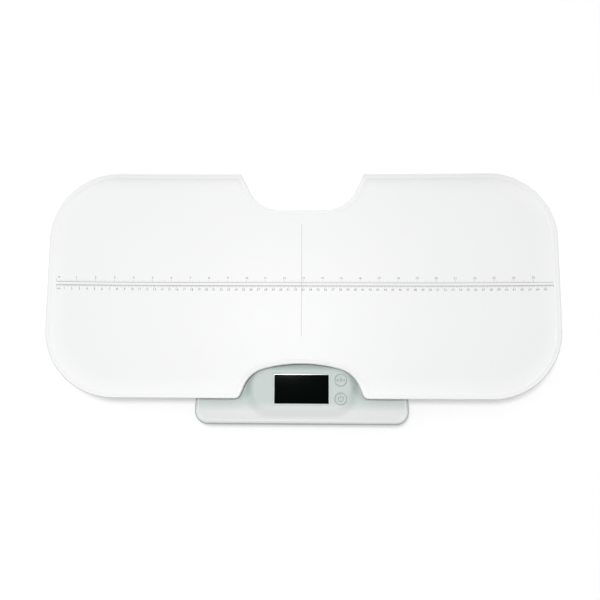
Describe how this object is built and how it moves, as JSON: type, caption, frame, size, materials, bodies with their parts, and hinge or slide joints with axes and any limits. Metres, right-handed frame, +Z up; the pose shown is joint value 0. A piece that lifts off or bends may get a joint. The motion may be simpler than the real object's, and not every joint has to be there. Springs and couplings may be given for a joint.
{
  "type": "digital baby weighing scale",
  "caption": "Digital baby weighing scale: a long shallow cradle tray with rounded corners and a hand notch lifts off a low base with a display console and push buttons",
  "frame": {"origin": "middle of the footprint, on the floor that the feet stand on", "axes": "+X to the user's right along the tray's length, +Y from the console to the rear, +Z up"},
  "size_m": [0.68, 0.338, 0.0553],
  "materials": {
    "tray_plastic": "satin",
    "shell_plastic": "satin",
    "button_plastic": "satin",
    "window_acrylic": "gloss",
    "display_glass": "gloss",
    "inner_plastic": "matte",
    "switch_plastic": "matte",
    "plunger_plastic": "matte",
    "board_laminate": "satin",
    "steel": "satin",
    "silicone": "matte",
    "foot_rubber": "matte",
    "lead_sleeve": "satin",
    "battery_sleeve": "gloss"
  },
  "bodies": {
    "base": {"tray_seats": "silicone", "top_cover": "shell_plastic", "display_window": "window_acrylic", "lcd_cell": "display_glass", "lcd_frame": "inner_plastic", "main_board": "board_laminate", "board_screws": "steel", "push_switches": "switch_plastic", "load_cell_front_left": "steel", "load_cell_front_right": "steel", "load_cell_rear_left": "steel", "load_cell_rear_right": "steel", "foot_cup_front_left": "inner_plastic", "foot_cup_front_right": "inner_plastic", "foot_cup_rear_left": "inner_plastic", "foot_cup_rear_right": "inner_plastic", "foot_pad_front_left": "foot_rubber", "foot_pad_front_right": "foot_rubber", "foot_pad_rear_left": "foot_rubber", "foot_pad_rear_right": "foot_rubber", "sensor_leads": "lead_sleeve", "bottom_cover": "shell_plastic", "cover_screws": "steel", "battery_cells": "battery_sleeve", "battery_springs": "steel", "battery_plates": "steel"},
    "tray_body": {"tray": "tray_plastic"},
    "zero_key": {"zero_button": "button_plastic", "zero_plunger": "plunger_plastic"},
    "power_key": {"power_button": "button_plastic", "power_plunger": "plunger_plastic"},
    "battery_lid": {"battery_door": "shell_plastic"}
  },
  "joints": [
    {"name": "tray_lift", "type": "slide", "parent": "base", "child": "tray_body", "axis": [0, 0, 1], "range_m": [0, 0.06]},
    {"name": "zero_press", "type": "slide", "parent": "base", "child": "zero_key", "axis": [0, 0, -1], "range_m": [0, 0.0006], "stiffness_N_per_m": 1500, "springref_m": -0.0005},
    {"name": "power_press", "type": "slide", "parent": "base", "child": "power_key", "axis": [0, 0, -1], "range_m": [0, 0.0006], "stiffness_N_per_m": 1500, "springref_m": -0.0005},
    {"name": "battery_door_hinge", "type": "hinge", "parent": "base", "child": "battery_lid", "pos_m": [0, -0.01565, 0.008], "axis": [-1, 0, 0], "range_deg": [0, 90]}
  ]
}
